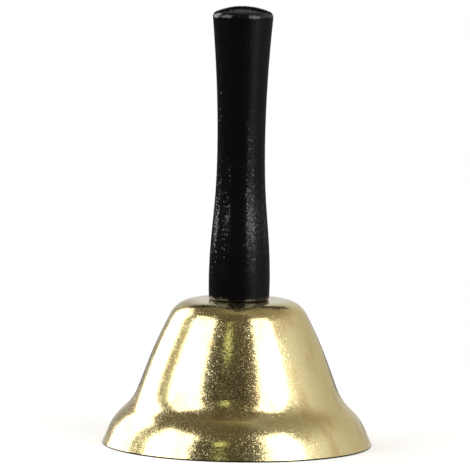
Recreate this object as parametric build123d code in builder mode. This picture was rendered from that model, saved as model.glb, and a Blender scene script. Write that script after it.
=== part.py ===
"""Service bell: a stamped metal cup on a turned wooden handle, with a clapper inside.

Millimetres.  +Z is up along the bell's axis.  The origin is the centre of the mouth, on the
surface that the rim rests on.  The pieces are the handle, the cup, and the hanging gear inside
it: a washer and a screw eye that clamp the cup to the handle, a wire link, and the clapper.
"""
from build123d import *
from math import acos, atan2, copysign, degrees, dist, hypot, sqrt, tan
import os

# ---- cup (bell_shell) -------------------------------------------------------------------------
mouth_radius = 40.0        # outside radius of the rim, before its edges are deburred
shell_height = 43.1        # rim to the flat top of the crown
wall = 1.0                 # sheet thickness
lip_height = 8.0           # flared lip, measured up from the rim
lip_lean = 3.3             # how far the lip leans in over its height
skirt_rise = 5.5           # from the lip up to the waist
skirt_step = 6.0           # how far the skirt steps in over its rise
waist_round = 14.5         # hollow between skirt and flank
lip_round = 18.5           # swell between skirt and lip
shoulder_radius = 18.0     # corner between flank and crown, before rounding
shoulder_round = 7.8
flank_bulge = 0.9          # the flank swells out past a straight line by this much
flank_bulge_at = 0.555     # place of the swell, as a share of the way up the flank
flank_round = 120.0
rim_round = 0.3            # deburred edges of the rim

# ---- handle -----------------------------------------------------------------------------------
handle_height = 86.9
foot_radius = 8.93
belly_radius = 9.06        # widest point, just above the foot
belly_height = 6.4
hip_radius = 8.64          # end of the belly, where the taper starts
hip_height = 16.9
taper_radius = 7.56        # end of the taper
taper_height = 29.9
grip_radius = 7.07         # waist of the grip
grip_height = 46.9
flare_radius = 7.58        # start of the flare towards the head
flare_height = 64.9
head_radius = 9.06         # top corner, before rounding
dome_rise = 2.1            # the top is a shallow dome
head_round = 1.8
foot_round = 0.7

# ---- screw eye and washer ---------------------------------------------------------------------
eye_wire = 2.2             # wire diameter of the ring
eye_ring_radius = 3.2      # to the middle of the wire
screw_major = 4.0          # wood thread, outside diameter
screw_root = 2.9
thread_pitch = 1.8
thread_crest = 0.25        # width of the thread's crest
thread_base = 1.1          # width of the thread at its root
thread_sink = 0.1          # the thread's root starts this deep in the shank
thread_length = 20.0
thread_lead = 2.5          # plain shank in the handle before the thread
tip_length = 3.0
tip_flat_radius = 0.2      # blunt end of the tip
pilot_spare = 2.0          # pilot hole beyond the tip
hole_clearance = 0.2       # around the screw, in the crown and the washer
washer_radius = 6.0
washer_thickness = 0.8

# ---- link and clapper -------------------------------------------------------------------------
link_wire = 1.4
link_end_radius = 3.0      # to the middle of the wire
link_straight = 2.0        # straight side of the oval
hinge_gap = 0.15           # air between wires that hang in one another
stem_wire = 1.8
loop_radius = 2.5          # to the middle of the wire
loop_turn = 290.0          # degrees of the loop that the wire goes round
neck_radius = 2.0          # bend from the stem into the loop
ball_radius = 8.0
ball_clearance = 3.0       # ball above the rim's plane
peen_radius = 1.6          # riveted end of the stem, under the ball
peen_height = 0.7
peen_round = 0.5

# ---- heights that follow ----------------------------------------------------------------------
seat_z = shell_height
crown_inner_z = seat_z - wall
washer_z = crown_inner_z - washer_thickness
hole_radius = screw_major / 2 + hole_clearance
eye_outer_radius = eye_ring_radius + eye_wire / 2
# the ring's shoulders bear on the edge of the washer's hole
eye_z = washer_z - sqrt(eye_outer_radius**2 - hole_radius**2)
eye_hinge_z = eye_z - eye_ring_radius
link_top_z = eye_hinge_z + eye_wire / 2 + hinge_gap + link_wire / 2
link_z = link_top_z - link_end_radius - link_straight / 2
link_hinge_z = link_z - link_straight / 2 - link_end_radius
loop_top_z = link_hinge_z + link_wire / 2 + hinge_gap + stem_wire / 2
loop_z = loop_top_z - loop_radius
neck_z = loop_z - sqrt(loop_radius**2 + 2 * loop_radius * neck_radius)
ball_z = ball_clearance + ball_radius
peen_z = ball_z - sqrt(ball_radius**2 - (stem_wire / 2) ** 2)
thread_z = seat_z + thread_lead
tip_z = thread_z + thread_length


def run_heading(start, end):
    """Unit direction of the straight run from one outline corner to the next."""
    length = hypot(end[0] - start[0], end[1] - start[1])
    return (end[0] - start[0]) / length, (end[1] - start[1]) / length


def corner_turn(before, corner, after):
    """Turn of an outline at a corner, in radians; a turn to the right is negative."""
    ahead, beyond = run_heading(before, corner), run_heading(corner, after)
    across = ahead[0] * beyond[1] - ahead[1] * beyond[0]
    along = ahead[0] * beyond[0] + ahead[1] * beyond[1]
    return atan2(across, along)


def eased_radii(corners, wanted):
    """Corner radii for an outline: each as wanted, or what half of its shorter run allows."""
    radii = []
    for before, corner, after, radius in zip(corners, corners[1:], corners[2:], wanted):
        half_run = min(dist(before, corner), dist(corner, after)) / 2
        half_turn = abs(corner_turn(before, corner, after)) / 2
        radii.append(min(radius, half_run / tan(half_turn)))
    return radii


def right_hand_parallel(corners, radii, distance):
    """Corners and corner radii of the outline that runs at a distance to the right of another."""
    headings = [run_heading(start, end) for start, end in zip(corners, corners[1:])]
    ahead = [headings[0]] + headings
    beyond = headings + [headings[-1]]
    moved = []
    for (x, y), (ax, ay), (bx, by) in zip(corners, ahead, beyond):
        reach = distance / (1 + ax * bx + ay * by)
        moved.append((x + (ay + by) * reach, y - (ax + bx) * reach))
    turns = [corner_turn(*three) for three in zip(corners, corners[1:], corners[2:])]
    return moved, [radius + copysign(distance, turn) for radius, turn in zip(radii, turns)]


# ---- the cup's outline, from the axis out and down to the rim ---------------------------------
waist_radius = mouth_radius - lip_lean - skirt_step
waist_z = lip_height + skirt_rise
flank_run = hypot(waist_radius - shoulder_radius, seat_z - waist_z)
flank_out = (seat_z - waist_z) / flank_run
flank_up = (waist_radius - shoulder_radius) / flank_run
bulge_radius = waist_radius - flank_bulge_at * (waist_radius - shoulder_radius)
bulge_radius += flank_bulge * flank_out
bulge_z = waist_z + flank_bulge_at * (seat_z - waist_z) + flank_bulge * flank_up
# the lip runs on below the rest plane, and is then cut off flat
overrun = 2 * wall
deepest_rim_round = wall / 3   # leaves a third of the sheet's edge flat
cup_corners = [
    (0, seat_z),
    (shoulder_radius, seat_z),
    (bulge_radius, bulge_z),
    (waist_radius, waist_z),
    (mouth_radius - lip_lean, lip_height),
    (mouth_radius + lip_lean * overrun / lip_height, -overrun),
]
cup_rounds = eased_radii(cup_corners, [shoulder_round, flank_round, waist_round, lip_round])
inner_corners, inner_rounds = right_hand_parallel(cup_corners, cup_rounds, wall)

with BuildPart() as bell_shell:
    with BuildSketch(Plane.XZ) as cup_section:
        with BuildLine():
            outside = FilletPolyline(cup_corners, radius=cup_rounds)
            inside = FilletPolyline(inner_corners, radius=inner_rounds)
            Line(outside @ 0, inside @ 0)
            Line(outside @ 1, inside @ 1)
        make_face()
        split(bisect_by=Plane.ZX, keep=Keep.TOP)
    revolve(axis=Axis.Z)
    with Locations((0, 0, seat_z)):
        Hole(hole_radius, depth=2 * wall)
    rim_edges = bell_shell.edges().group_by(Axis.Z)[0]
    fillet(rim_edges, radius=min(rim_round, deepest_rim_round))
bell_shell.part.label = "bell_shell"

# ---- the handle: a turned spindle on a pilot hole ---------------------------------------------
head_z = seat_z + handle_height - dome_rise
foot_corner = (foot_radius, seat_z)
head_corner = (head_radius, head_z)
dome_radius = (head_radius**2 + dome_rise**2) / (2 * dome_rise)
dome_angle = degrees(2 * atan2(dome_rise, head_radius))
pilot_depth = thread_lead + thread_length + tip_length + pilot_spare

with BuildPart() as handle:
    with BuildSketch(Plane.XZ) as handle_section:
        with BuildLine():
            side = Spline(
                foot_corner,
                (belly_radius, seat_z + belly_height),
                (hip_radius, seat_z + hip_height),
                (taper_radius, seat_z + taper_height),
                (grip_radius, seat_z + grip_height),
                (flare_radius, seat_z + flare_height),
                head_corner,
            )
            apex = (0, seat_z + handle_height)
            JernArc(start=apex, tangent=(1, 0), radius=dome_radius, arc_size=-dome_angle)
            Polyline(apex, (0, seat_z), side @ 0)
        make_face()
        for corner, corner_round in ((foot_corner, foot_round), (head_corner, head_round)):
            fillet(handle_section.vertices().sort_by_distance(corner)[0], radius=corner_round)
    revolve(axis=Axis.Z)
    with Locations(Plane(origin=(0, 0, seat_z), z_dir=(0, 0, -1))):
        Hole(screw_root / 2, depth=pilot_depth)
handle.part.label = "handle"

with BuildPart() as crown_washer:
    with BuildSketch(Plane.XY.offset(washer_z)):
        Circle(washer_radius)
        Circle(hole_radius, mode=Mode.SUBTRACT)
    extrude(amount=washer_thickness)
crown_washer.part.label = "crown_washer"

# ---- the screw eye: a closed ring in the XZ plane on a wood screw -----------------------------
tip_taper = degrees(atan2(screw_root / 2 - tip_flat_radius, tip_length))
thread_height = (screw_major - screw_root) / 2

with BuildPart() as eye_screw:
    with BuildSketch(Plane(origin=(eye_ring_radius, 0, eye_z), z_dir=(0, 0, 1))):
        Circle(eye_wire / 2)
    revolve(axis=Axis((0, 0, eye_z), (0, 1, 0)))
    with BuildSketch(Plane.XY.offset(eye_z + eye_ring_radius)):
        Circle(screw_root / 2)
    extrude(amount=tip_z - eye_z - eye_ring_radius)
    with BuildSketch(Plane.XY.offset(tip_z)):
        Circle(screw_root / 2)
    extrude(amount=tip_length, taper=tip_taper)
    thread_path = Helix(
        pitch=thread_pitch, height=thread_length, radius=screw_root / 2, center=(0, 0, thread_z)
    )
    with BuildSketch(Plane(origin=thread_path @ 0, x_dir=(1, 0, 0), z_dir=thread_path % 0)):
        with BuildLine():
            Polyline(
                (-thread_sink, -thread_base / 2),
                (thread_height, -thread_crest / 2),
                (thread_height, thread_crest / 2),
                (-thread_sink, thread_base / 2),
                close=True,
            )
        make_face()
    sweep(path=thread_path, is_frenet=True)
eye_screw.part.label = "eye_screw"

# ---- the link: one oval turn of wire in the YZ plane ------------------------------------------
with BuildPart() as clapper_link:
    with BuildLine(Plane.YZ) as oval:
        rise = Line(
            (link_end_radius, link_z - link_straight / 2), (link_end_radius, link_z + link_straight / 2)
        )
        top_end = JernArc(start=rise @ 1, tangent=(0, 1), radius=link_end_radius, arc_size=180)
        fall = Line(top_end @ 1, (top_end @ 1) - (rise @ 1 - rise @ 0))
        JernArc(start=fall @ 1, tangent=(0, -1), radius=link_end_radius, arc_size=180)
    with BuildSketch(Plane(origin=rise @ 0.5, z_dir=rise % 0.5)):
        Circle(link_wire / 2)
    sweep(path=oval.wires()[0])
clapper_link.part.label = "clapper_link"

# ---- the clapper: a looped wire and a ball ----------------------------------------------------
neck_turn = degrees(acos(neck_radius / (loop_radius + neck_radius)))
deepest_peen_round = 0.8 * peen_height

with BuildPart() as clapper_stem:
    with BuildLine(Plane.XZ) as wire_run:
        shank = Line((0, peen_z), (0, neck_z))
        neck = JernArc(start=shank @ 1, tangent=(0, 1), radius=neck_radius, arc_size=-neck_turn)
        JernArc(start=neck @ 1, tangent=neck % 1, radius=loop_radius, arc_size=loop_turn)
    with BuildSketch(Plane(origin=shank @ 0, z_dir=shank % 0)):
        Circle(stem_wire / 2)
    sweep(path=wire_run.wires()[0])
    with BuildSketch(Plane.XY.offset(peen_z - peen_height)):
        Circle(peen_radius)
    extrude(amount=peen_height)
    peen_edge = clapper_stem.edges().filter_by(GeomType.CIRCLE).sort_by(Axis.Z)[0]
    fillet(peen_edge, radius=min(peen_round, deepest_peen_round))
clapper_stem.part.label = "clapper_stem"

with BuildPart() as clapper_ball:
    with Locations((0, 0, ball_z)):
        Sphere(ball_radius)
        Hole(stem_wire / 2)
clapper_ball.part.label = "clapper_ball"

# ---- the finished pieces ----------------------------------------------------------------------
os.makedirs("parts", exist_ok=True)
for piece in (bell_shell, handle, crown_washer, eye_screw, clapper_link, clapper_stem, clapper_ball):
    export_step(piece.part, f"parts/{piece.part.label}.step")
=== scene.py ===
"""Service bell: camera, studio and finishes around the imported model.  Metres and degrees, +Z up."""
import math

import bpy
from mathutils import Matrix, Vector


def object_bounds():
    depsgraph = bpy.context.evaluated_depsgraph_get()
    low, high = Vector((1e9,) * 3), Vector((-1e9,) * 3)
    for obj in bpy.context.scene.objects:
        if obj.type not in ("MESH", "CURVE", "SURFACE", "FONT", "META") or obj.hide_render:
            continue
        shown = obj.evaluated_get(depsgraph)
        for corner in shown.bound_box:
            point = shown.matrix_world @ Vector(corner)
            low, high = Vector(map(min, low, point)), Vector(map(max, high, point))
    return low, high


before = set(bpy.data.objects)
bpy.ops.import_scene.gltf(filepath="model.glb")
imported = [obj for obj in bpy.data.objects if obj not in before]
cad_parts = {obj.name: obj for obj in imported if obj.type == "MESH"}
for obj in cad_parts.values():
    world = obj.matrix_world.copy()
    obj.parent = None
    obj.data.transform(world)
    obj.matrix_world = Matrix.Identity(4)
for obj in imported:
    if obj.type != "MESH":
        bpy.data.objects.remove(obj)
cad_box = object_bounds()


# ---- directions -------------------------------------------------------------------------------
def sine(degrees):
    return math.sin(math.radians(degrees))


def cosine(degrees):
    return math.cos(math.radians(degrees))


def tangent(degrees):
    return math.tan(math.radians(degrees))


def direction_to(azimuth, elevation=0):
    """Azimuth 0 is the camera's side, and azimuth grows towards +X."""
    level = cosine(elevation)
    return Vector((level * sine(azimuth), -level * cosine(azimuth), sine(elevation)))


# ---- camera -----------------------------------------------------------------------------------
VIEW_DISTANCE = 1.8
VIEW_ELEVATION = 5.9
VIEW_ROLL = 0.85
FRAME_WIDTH = 0.1388           # width of the picture at the bell
SENSOR_WIDTH = 36.0            # millimetres
CLIP_START, CLIP_END = 0.1, 20.0
AIM_LEFT_OF_AXIS = 0.00145
AIM_BELOW_MIDDLE = 0.0028


def make_camera():
    low, high = cad_box
    aim = Vector((-AIM_LEFT_OF_AXIS, 0, (low.z + high.z) / 2 - AIM_BELOW_MIDDLE))
    back = direction_to(0, VIEW_ELEVATION)
    data = bpy.data.cameras.new("camera")
    data.sensor_width = SENSOR_WIDTH
    data.lens = SENSOR_WIDTH * VIEW_DISTANCE / FRAME_WIDTH
    data.clip_start, data.clip_end = CLIP_START, CLIP_END
    camera = bpy.data.objects.new("camera", data)
    bpy.context.scene.collection.objects.link(camera)
    turn = (-back).to_track_quat("-Z", "Y").to_matrix().to_4x4()
    roll = Matrix.Rotation(math.radians(VIEW_ROLL), 4, "Z")
    camera.matrix_world = Matrix.Translation(aim + back * VIEW_DISTANCE) @ turn @ roll
    bpy.context.scene.camera = camera


# ---- shader nodes -----------------------------------------------------------------------------
def feed(tree, node, inputs):
    """Fills a node's inputs, by name or number, from sockets, numbers, vectors or colours."""
    for key, source in inputs.items():
        socket = node.inputs[key]
        if isinstance(source, bpy.types.NodeSocket):
            tree.links.new(source, socket)
        elif socket.type == "RGBA":
            socket.default_value = (*source, 1)
        else:
            socket.default_value = source


def add_node(tree, kind, inputs=None, **settings):
    node = tree.nodes.new("ShaderNode" + kind)
    for name, value in settings.items():
        setattr(node, name, value)
    feed(tree, node, inputs or {})
    return node


def add_noise(tree, position, scale, detail):
    inputs = {"Vector": position, "Scale": scale, "Detail": detail}
    return add_node(tree, "TexNoise", inputs).outputs["Fac"]


def add_range(tree, value, low, high, to_low=0.0, to_high=1.0):
    """A smooth step from to_low to to_high while the value goes from low to high."""
    inputs = {"Value": value, "From Min": low, "From Max": high, "To Min": to_low, "To Max": to_high}
    return add_node(tree, "MapRange", inputs, interpolation_type="SMOOTHSTEP").outputs["Result"]


def add_mix(tree, factor, first, second, blend="MIX"):
    inputs = {"Factor": factor, "A": first, "B": second}
    return add_node(tree, "Mix", inputs, data_type="RGBA", blend_type=blend).outputs["Result"]


def add_math(tree, operation, *numbers):
    node = add_node(tree, "Math", dict(enumerate(numbers)), operation=operation)
    return node.outputs["Value"]


def add_vector_math(tree, operation, *vectors):
    node = add_node(tree, "VectorMath", dict(enumerate(vectors)), operation=operation)
    return node.outputs["Value" if operation == "DOT_PRODUCT" else "Vector"]


def new_material(name):
    material = bpy.data.materials.new(name)
    material.use_nodes = True
    tree = material.node_tree
    return material, tree, tree.nodes["Principled BSDF"]


# ---- studio -----------------------------------------------------------------------------------
WHITE = (1, 1, 1)

SOFTBOX_DISTANCE = 1.2
# name, strength, azimuth of the middle, width in azimuth, height of the bottom edge in metres,
# elevation of the top edge
SOFTBOXES = (
    ("softbox_front_left", 2.4, -69, 46, 0.190, 52),
    ("softbox_front_right", 2.4, 46, 38, 0.140, 57),
    ("softbox_front_right_foot", 0.4, 46, 30, 0.010, 3.6),
    ("softbox_back_left", 2.4, -127, 36, 0.055, 43),
)


def make_softbox(name, strength, azimuth, width, bottom, top_elevation):
    """A standing panel of light that faces the bell."""
    top = SOFTBOX_DISTANCE * tangent(top_elevation)
    data = bpy.data.lights.new(name, "AREA")
    data.shape = "RECTANGLE"
    data.size = 2 * SOFTBOX_DISTANCE * tangent(width / 2)
    data.size_y = top - bottom
    data.energy = strength * math.pi * data.size * data.size_y
    lamp = bpy.data.objects.new(name, data)
    bpy.context.scene.collection.objects.link(lamp)
    towards = direction_to(azimuth)
    lamp.location = towards * SOFTBOX_DISTANCE + Vector((0, 0, (top + bottom) / 2))
    lamp.rotation_euler = (-towards).to_track_quat("-Z", "Y").to_euler()
    lamp.visible_camera = False


# the walls all the way round, from behind by way of the left: azimuth, brightness, tint
COOL, PLAIN, WARM = (0.97, 1.0, 1.08), (1.0, 0.98, 0.94), (1.05, 0.98, 0.84)
ROOM_TONES = (
    (-180, 0.66, COOL),
    (-152, 0.27, PLAIN),
    (-101, 0.22, PLAIN),
    (-60, 0.14, PLAIN),
    (-25, 0.035, WARM),
    (8, 0.045, WARM),
    (28, 0.25, PLAIN),
    (58, 1.65, PLAIN),
    (71, 1.08, PLAIN),
    (83, 0.82, PLAIN),
    (104, 0.62, PLAIN),
    (128, 0.50, WARM),
    (150, 0.48, WARM),
    (180, 0.66, COOL),
)
CEILING = (0.115, 0.095, 0.06)
CEILING_COVER = 0.86           # the rest of the light up there is the walls' own
TABLE = 0.20                   # the table beyond the paper, as a share of the walls
BELOW = 1.3                    # what the light from under the table adds to that share
# elevations of the joins, from below the table up to the ceiling
BELOW_STARTS, BELOW_ENDS = -40, -15
TABLE_ENDS, WALLS_START, WALLS_START_BEHIND = -2, 9, 1
WALLS_END, CEILING_STARTS = 25, 60
# how far back a direction points, from 0 to 1, while WALLS_START turns into WALLS_START_BEHIND
BEHIND_RANGE = (0.1, 0.6)
# light patches on the walls and the ceiling: azimuth, elevation, spread, colour
PATCHES = (
    (-17, 42, 5.5, (0.98, 1.12, 0.58)),
    (180, 84, 20, (0.13, 0.11, 0.07)),
    (-99, 25, 11, (0.24, 0.22, 0.13)),
    (112, 52, 30, (0.13, 0.12, 0.09)),
)
# the white that the camera sees behind the bell: azimuth, elevation, and how many degrees around
# them it stays whole and where it ends
BACKDROP = (180, -VIEW_ELEVATION, 6, 11)


def add_spot(tree, direction, azimuth, elevation, inner, outer):
    """A share that is one within inner degrees of a direction, and nothing from outer degrees on."""
    towards = direction_to(azimuth, elevation)
    nearness = add_vector_math(tree, "DOT_PRODUCT", direction, towards)
    return add_range(tree, nearness, cosine(outer), cosine(inner))


def add_wall_tones(tree, right, back):
    """The colour of the walls, by how far right and how far back the direction points."""
    forward = add_math(tree, "MULTIPLY", back, -1.0)
    azimuth = add_math(tree, "ARCTAN2", right, forward)
    turn = add_math(tree, "MULTIPLY_ADD", azimuth, 0.5 / math.pi, 0.5)
    tones = add_node(tree, "ValToRGB", {"Fac": turn})
    ramp = tones.color_ramp
    while len(ramp.elements) < len(ROOM_TONES):
        ramp.elements.new(0.5)
    for stop, (angle, tone, tint) in zip(ramp.elements, ROOM_TONES):
        stop.position = (angle + 180) / 360
        stop.color = [tone * channel for channel in tint] + [1]
    return tones.outputs["Color"]


def add_room(tree, direction):
    """The light of the room: the table and what shines from under it, walls, ceiling, patches."""
    right, back, rise = add_node(tree, "SeparateXYZ", {"Vector": direction}).outputs
    walls_start = add_range(tree, back, *BEHIND_RANGE, sine(WALLS_START), sine(WALLS_START_BEHIND))
    table = add_range(tree, rise, sine(TABLE_ENDS), walls_start, TABLE, 1.0)
    below = add_range(tree, rise, sine(BELOW_STARTS), sine(BELOW_ENDS), BELOW, 0.0)
    share = add_math(tree, "ADD", table, below)
    walls = add_vector_math(tree, "MULTIPLY", add_wall_tones(tree, right, back), share)
    height = add_range(tree, rise, sine(WALLS_END), sine(CEILING_STARTS), 0.0, CEILING_COVER)
    room = add_mix(tree, height, walls, CEILING)
    for azimuth, elevation, spread, colour in PATCHES:
        patch = add_spot(tree, direction, azimuth, elevation, 0, spread)
        room = add_mix(tree, patch, room, colour, "ADD")
    return room


def make_world():
    """White to the camera, through glass, and in mirrorings of the backdrop; elsewhere the room."""
    world = bpy.data.worlds.new("studio")
    bpy.context.scene.world = world
    world.use_nodes = True
    tree = world.node_tree
    tree.nodes.clear()
    direction = add_node(tree, "TexCoord").outputs["Generated"]
    rays = add_node(tree, "LightPath").outputs
    seen = add_math(tree, "MAXIMUM", rays["Is Camera Ray"], rays["Is Transmission Ray"])
    mirrored = add_math(tree, "MULTIPLY", rays["Is Glossy Ray"], add_spot(tree, direction, *BACKDROP))
    white = add_math(tree, "MAXIMUM", seen, mirrored)
    colour = add_mix(tree, white, add_room(tree, direction), WHITE)
    background = add_node(tree, "Background", {"Color": colour})
    add_node(tree, "OutputWorld", {"Surface": background.outputs["Background"]})


def add_sheet(name, corners, faces):
    mesh = bpy.data.meshes.new(name)
    mesh.from_pydata(corners, [], faces)
    sheet = bpy.data.objects.new(name, mesh)
    bpy.context.scene.collection.objects.link(sheet)
    return sheet


FLOOR_RADIUS = 0.13
FLOOR_OVERLAP = 0.00145        # how far it reaches in under the rim, before its opening
FLOOR_CORNERS = 256
FLOOR_DROP = 0.00002           # keeps the floor just clear of the rim
PAPER = (0.9, 0.9, 0.9)
PAPER_ROUGHNESS = 0.9
PAPER_GLOW = 0.45              # to the camera alone, so that the paper meets the white behind it


def make_floor():
    """A ring of pale paper, open under the bell and unseen from below, where one looks inside."""
    opening = cad_box[1].x - FLOOR_OVERLAP
    angles = [360 * i / FLOOR_CORNERS for i in range(FLOOR_CORNERS)]
    inner = [direction_to(angle) * opening for angle in angles]
    outer = [direction_to(angle) * FLOOR_RADIUS for angle in angles]
    faces = []
    for i in range(FLOOR_CORNERS):
        after = (i + 1) % FLOOR_CORNERS
        faces.append((i, i + FLOOR_CORNERS, after + FLOOR_CORNERS, after))
    floor = add_sheet("floor", inner + outer, faces)
    floor.location.z = -FLOOR_DROP
    material, tree, shader = new_material("floor_paper")
    to_camera = add_node(tree, "LightPath").outputs["Is Camera Ray"]
    feed(tree, shader, {
        "Base Color": PAPER,
        "Roughness": PAPER_ROUGHNESS,
        "Specular IOR Level": 0.0,
        "Emission Color": WHITE,
        "Emission Strength": add_math(tree, "MULTIPLY", to_camera, PAPER_GLOW),
    })
    from_below = add_node(tree, "NewGeometry").outputs["Backfacing"]
    clear = add_node(tree, "BsdfTransparent").outputs["BSDF"]
    one_sided = add_node(tree, "MixShader", {"Fac": from_below, 1: shader.outputs["BSDF"], 2: clear})
    feed(tree, tree.nodes["Material Output"], {"Surface": one_sided.outputs["Shader"]})
    floor.data.materials.append(material)


FLAG_DISTANCE = 0.15
FLAG_ABOVE_BELL = 0.026
FLAG_WIDTH, FLAG_HEIGHT = 0.21, 0.084
FLAG_CLOTH = (0.01, 0.01, 0.01)


def make_flag():
    """A black card behind the bell that only reflections see; it darkens the handle's top."""
    left, right = -FLAG_WIDTH / 2, FLAG_WIDTH / 2
    bottom = cad_box[1].z + FLAG_ABOVE_BELL
    top = bottom + FLAG_HEIGHT
    corners = [(left, bottom), (right, bottom), (right, top), (left, top)]
    flag = add_sheet("flag", [(x, FLAG_DISTANCE, z) for x, z in corners], [(0, 1, 2, 3)])
    flag.visible_camera = False
    flag.visible_diffuse = False
    flag.visible_shadow = False
    material, tree, shader = new_material("flag_cloth")
    feed(tree, shader, {"Base Color": FLAG_CLOTH, "Roughness": 1.0, "Specular IOR Level": 0.0})
    flag.data.materials.append(material)


# ---- grain ------------------------------------------------------------------------------------
# facets per metre, and how far a plain facet and a pit lean
GOLD_GRAIN = (3900.0, 0.055, 0.19)
LACQUER_GRAIN = (3000.0, 0.07, 0.19)
STEEL_GRAIN = (5200.0, 0.05, 0.16)
PIT_SHARE = 0.19               # of all facets
PIT_STEP = 0.001               # width of the step in chance that makes a facet a pit
MIDDLE_COLOUR = (0.5, 0.5, 0.5)


def add_grain(tree, position, grain, strength=1.0):
    """Tiny facets, each with a slant of its own, and here and there a steeper one, a pit.

    Returns the normal and a share that is one in the pits.
    """
    facets_per_metre, lean, pit_lean = grain
    cells = add_node(tree, "TexVoronoi", {"Vector": position, "Scale": facets_per_metre}).outputs
    chance = add_node(tree, "TexWhiteNoise", {"Vector": cells["Position"]}).outputs["Value"]
    pits = add_range(tree, chance, 1 - PIT_SHARE, 1 - PIT_SHARE + PIT_STEP)
    slant = add_math(tree, "MULTIPLY", add_range(tree, pits, 0.0, 1.0, lean, pit_lean), strength)
    tilt = add_vector_math(tree, "SUBTRACT", cells["Color"], MIDDLE_COLOUR)
    normal = add_node(tree, "NewGeometry").outputs["Normal"]
    slanted = add_vector_math(tree, "MULTIPLY_ADD", tilt, slant, normal)
    return add_vector_math(tree, "NORMALIZE", slanted), pits


# ---- finishes ---------------------------------------------------------------------------------
# a NOISE is its scale and detail; a RANGE is the two values between which a share rises or falls
GOLD = (0.93, 0.805, 0.43)
GOLD_ROUGHNESS, PIT_ROUGHNESS = 0.135, 0.285
GOLD_TARNISH = (0.78, 0.60, 0.29)
TARNISH_STRETCH = (1.0, 1.0, 0.4)          # draws the streaks out upwards
TARNISH_NOISE = (130.0, 3.0)
TARNISH_RANGE = (0.48, 0.66)
TARNISH_MOST = 0.85
GOLD_INSIDE = (0.72, 0.58, 0.31)
INSIDE_DULLING = 0.2                       # what the inside adds to the roughness
INSIDE_RANGE = (-0.002, 0.0)               # how far out from the origin the surface's plane lies
# painted shade: a dark band along the foot of the rim paints the contact shadow where the bell
# stands, and partly the bare cut edge; its colour, then the heights over which it fades out
RIM_PAINTED_SHADOW = (0.03, 0.028, 0.02)
RIM_PAINTED_SHADOW_RANGE = (0.0004, 0.0005)          # heights above the rest plane
ROLLED_GRAIN = 0.35                        # the grain that rolling left at the waist, as a share
ROLLED_BELOW = (0.0072, 0.0086)            # heights between which the grain fades, under the waist
ROLLED_ABOVE = (0.0126, 0.0146)            # and above it


def gold_finish():
    """Bright gold plate with a fine grain: smooth outside, duller inside, with a painted contact
    shadow along the rim's foot that also stands for the dark bare cut edge there.
    """
    material, tree, shader = new_material("gold_plate")
    position = add_node(tree, "TexCoord").outputs["Object"]
    height = add_node(tree, "SeparateXYZ", {"Vector": position}).outputs["Z"]
    under = add_range(tree, height, *ROLLED_BELOW, 1.0, ROLLED_GRAIN)
    over = add_range(tree, height, *ROLLED_ABOVE, ROLLED_GRAIN, 1.0)
    normal, pits = add_grain(tree, position, GOLD_GRAIN, add_math(tree, "MAXIMUM", under, over))
    drawn = add_vector_math(tree, "MULTIPLY", position, TARNISH_STRETCH)
    streaks = add_noise(tree, drawn, *TARNISH_NOISE)
    tarnish = add_range(tree, streaks, *TARNISH_RANGE, 0.0, TARNISH_MOST)
    facing = add_node(tree, "NewGeometry").outputs["True Normal"]
    outward = add_vector_math(tree, "DOT_PRODUCT", position, facing)
    inside = add_range(tree, outward, *INSIDE_RANGE, 1.0, 0.0)
    # the painted contact shadow along the rim's foot, one at the bottom and nothing above
    painted_rim_shadow = add_range(tree, height, *RIM_PAINTED_SHADOW_RANGE, 1.0, 0.0)
    outer = add_mix(tree, tarnish, GOLD, GOLD_TARNISH)
    plated = add_mix(tree, inside, outer, GOLD_INSIDE)
    rough = add_range(tree, pits, 0.0, 1.0, GOLD_ROUGHNESS, PIT_ROUGHNESS)
    feed(tree, shader, {
        "Metallic": 1.0,
        "Base Color": add_mix(tree, painted_rim_shadow, plated, RIM_PAINTED_SHADOW),
        "Roughness": add_math(tree, "MULTIPLY_ADD", inside, INSIDE_DULLING, rough),
        "Normal": normal,
    })
    return material


LACQUER = (0.0040, 0.0040, 0.0055)
LACQUER_BROWN = (0.0065, 0.0060, 0.0060)
LACQUER_ROUGHNESS = (0.07, 0.13)
HAZE_NOISE = (130.0, 2.0)
HAZE_RANGE = (0.35, 0.75)


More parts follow.
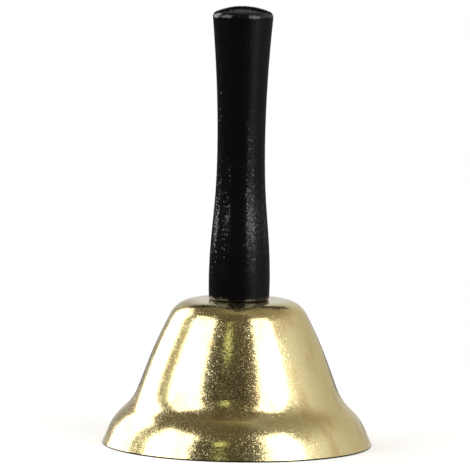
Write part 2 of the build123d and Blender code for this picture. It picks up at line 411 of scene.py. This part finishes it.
def lacquer_finish():
    """Black gloss lacquer on wood: very dark, with an orange peel that breaks up its lights."""
    material, tree, shader = new_material("black_lacquer")
    position = add_node(tree, "TexCoord").outputs["Object"]
    normal, _ = add_grain(tree, position, LACQUER_GRAIN)
    haze = add_noise(tree, position, *HAZE_NOISE)
    feed(tree, shader, {
        "Base Color": add_mix(tree, haze, LACQUER, LACQUER_BROWN),
        "Roughness": add_range(tree, haze, *HAZE_RANGE, *LACQUER_ROUGHNESS),
        "Normal": normal,
    })
    return material


ZINC = (0.62, 0.62, 0.60)
ZINC_DULL = (0.44, 0.44, 0.42)
ZINC_ROUGHNESS = (0.26, 0.40)
STEEL = (0.64, 0.63, 0.61)
STEEL_SMOKY = (0.46, 0.44, 0.41)
STEEL_ROUGHNESS = (0.10, 0.20)
CLOUD_NOISE = (420.0, 4.0)
CLOUD_RANGE = (0.38, 0.68)
RUB_NOISE = (1500.0, 6.0)
RUB_RANGE = (0.55, 0.70)
RUB_ROUGHNESS = 0.12                       # what a rub adds at most


def steel_finish(name, bright, dull, roughness):
    """Plated or polished steel: cloudy patches, fine grain and a few rubs."""
    material, tree, shader = new_material(name)
    position = add_node(tree, "TexCoord").outputs["Object"]
    normal, _ = add_grain(tree, position, STEEL_GRAIN)
    patchy = add_range(tree, add_noise(tree, position, *CLOUD_NOISE), *CLOUD_RANGE)
    rubbed = add_range(tree, add_noise(tree, position, *RUB_NOISE), *RUB_RANGE, 0.0, RUB_ROUGHNESS)
    cloudy = add_range(tree, patchy, 0.0, 1.0, *roughness)
    feed(tree, shader, {
        "Metallic": 1.0,
        "Base Color": add_mix(tree, patchy, bright, dull),
        "Roughness": add_math(tree, "ADD", cloudy, rubbed),
        "Normal": normal,
    })
    return material


def dress(node, material):
    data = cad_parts[node].data
    data.materials.clear()
    data.materials.append(material)


bpy.context.scene.view_settings.view_transform = "Standard"
make_camera()
for softbox in SOFTBOXES:
    make_softbox(*softbox)
make_world()
make_floor()
make_flag()
dress("bell_shell", gold_finish())
dress("handle", lacquer_finish())
zinc = steel_finish("zinc_plate", ZINC, ZINC_DULL, ZINC_ROUGHNESS)
for node in ("crown_washer", "eye_screw", "clapper_link", "clapper_stem"):
    dress(node, zinc)
dress("clapper_ball", steel_finish("polished_steel", STEEL, STEEL_SMOKY, STEEL_ROUGHNESS))
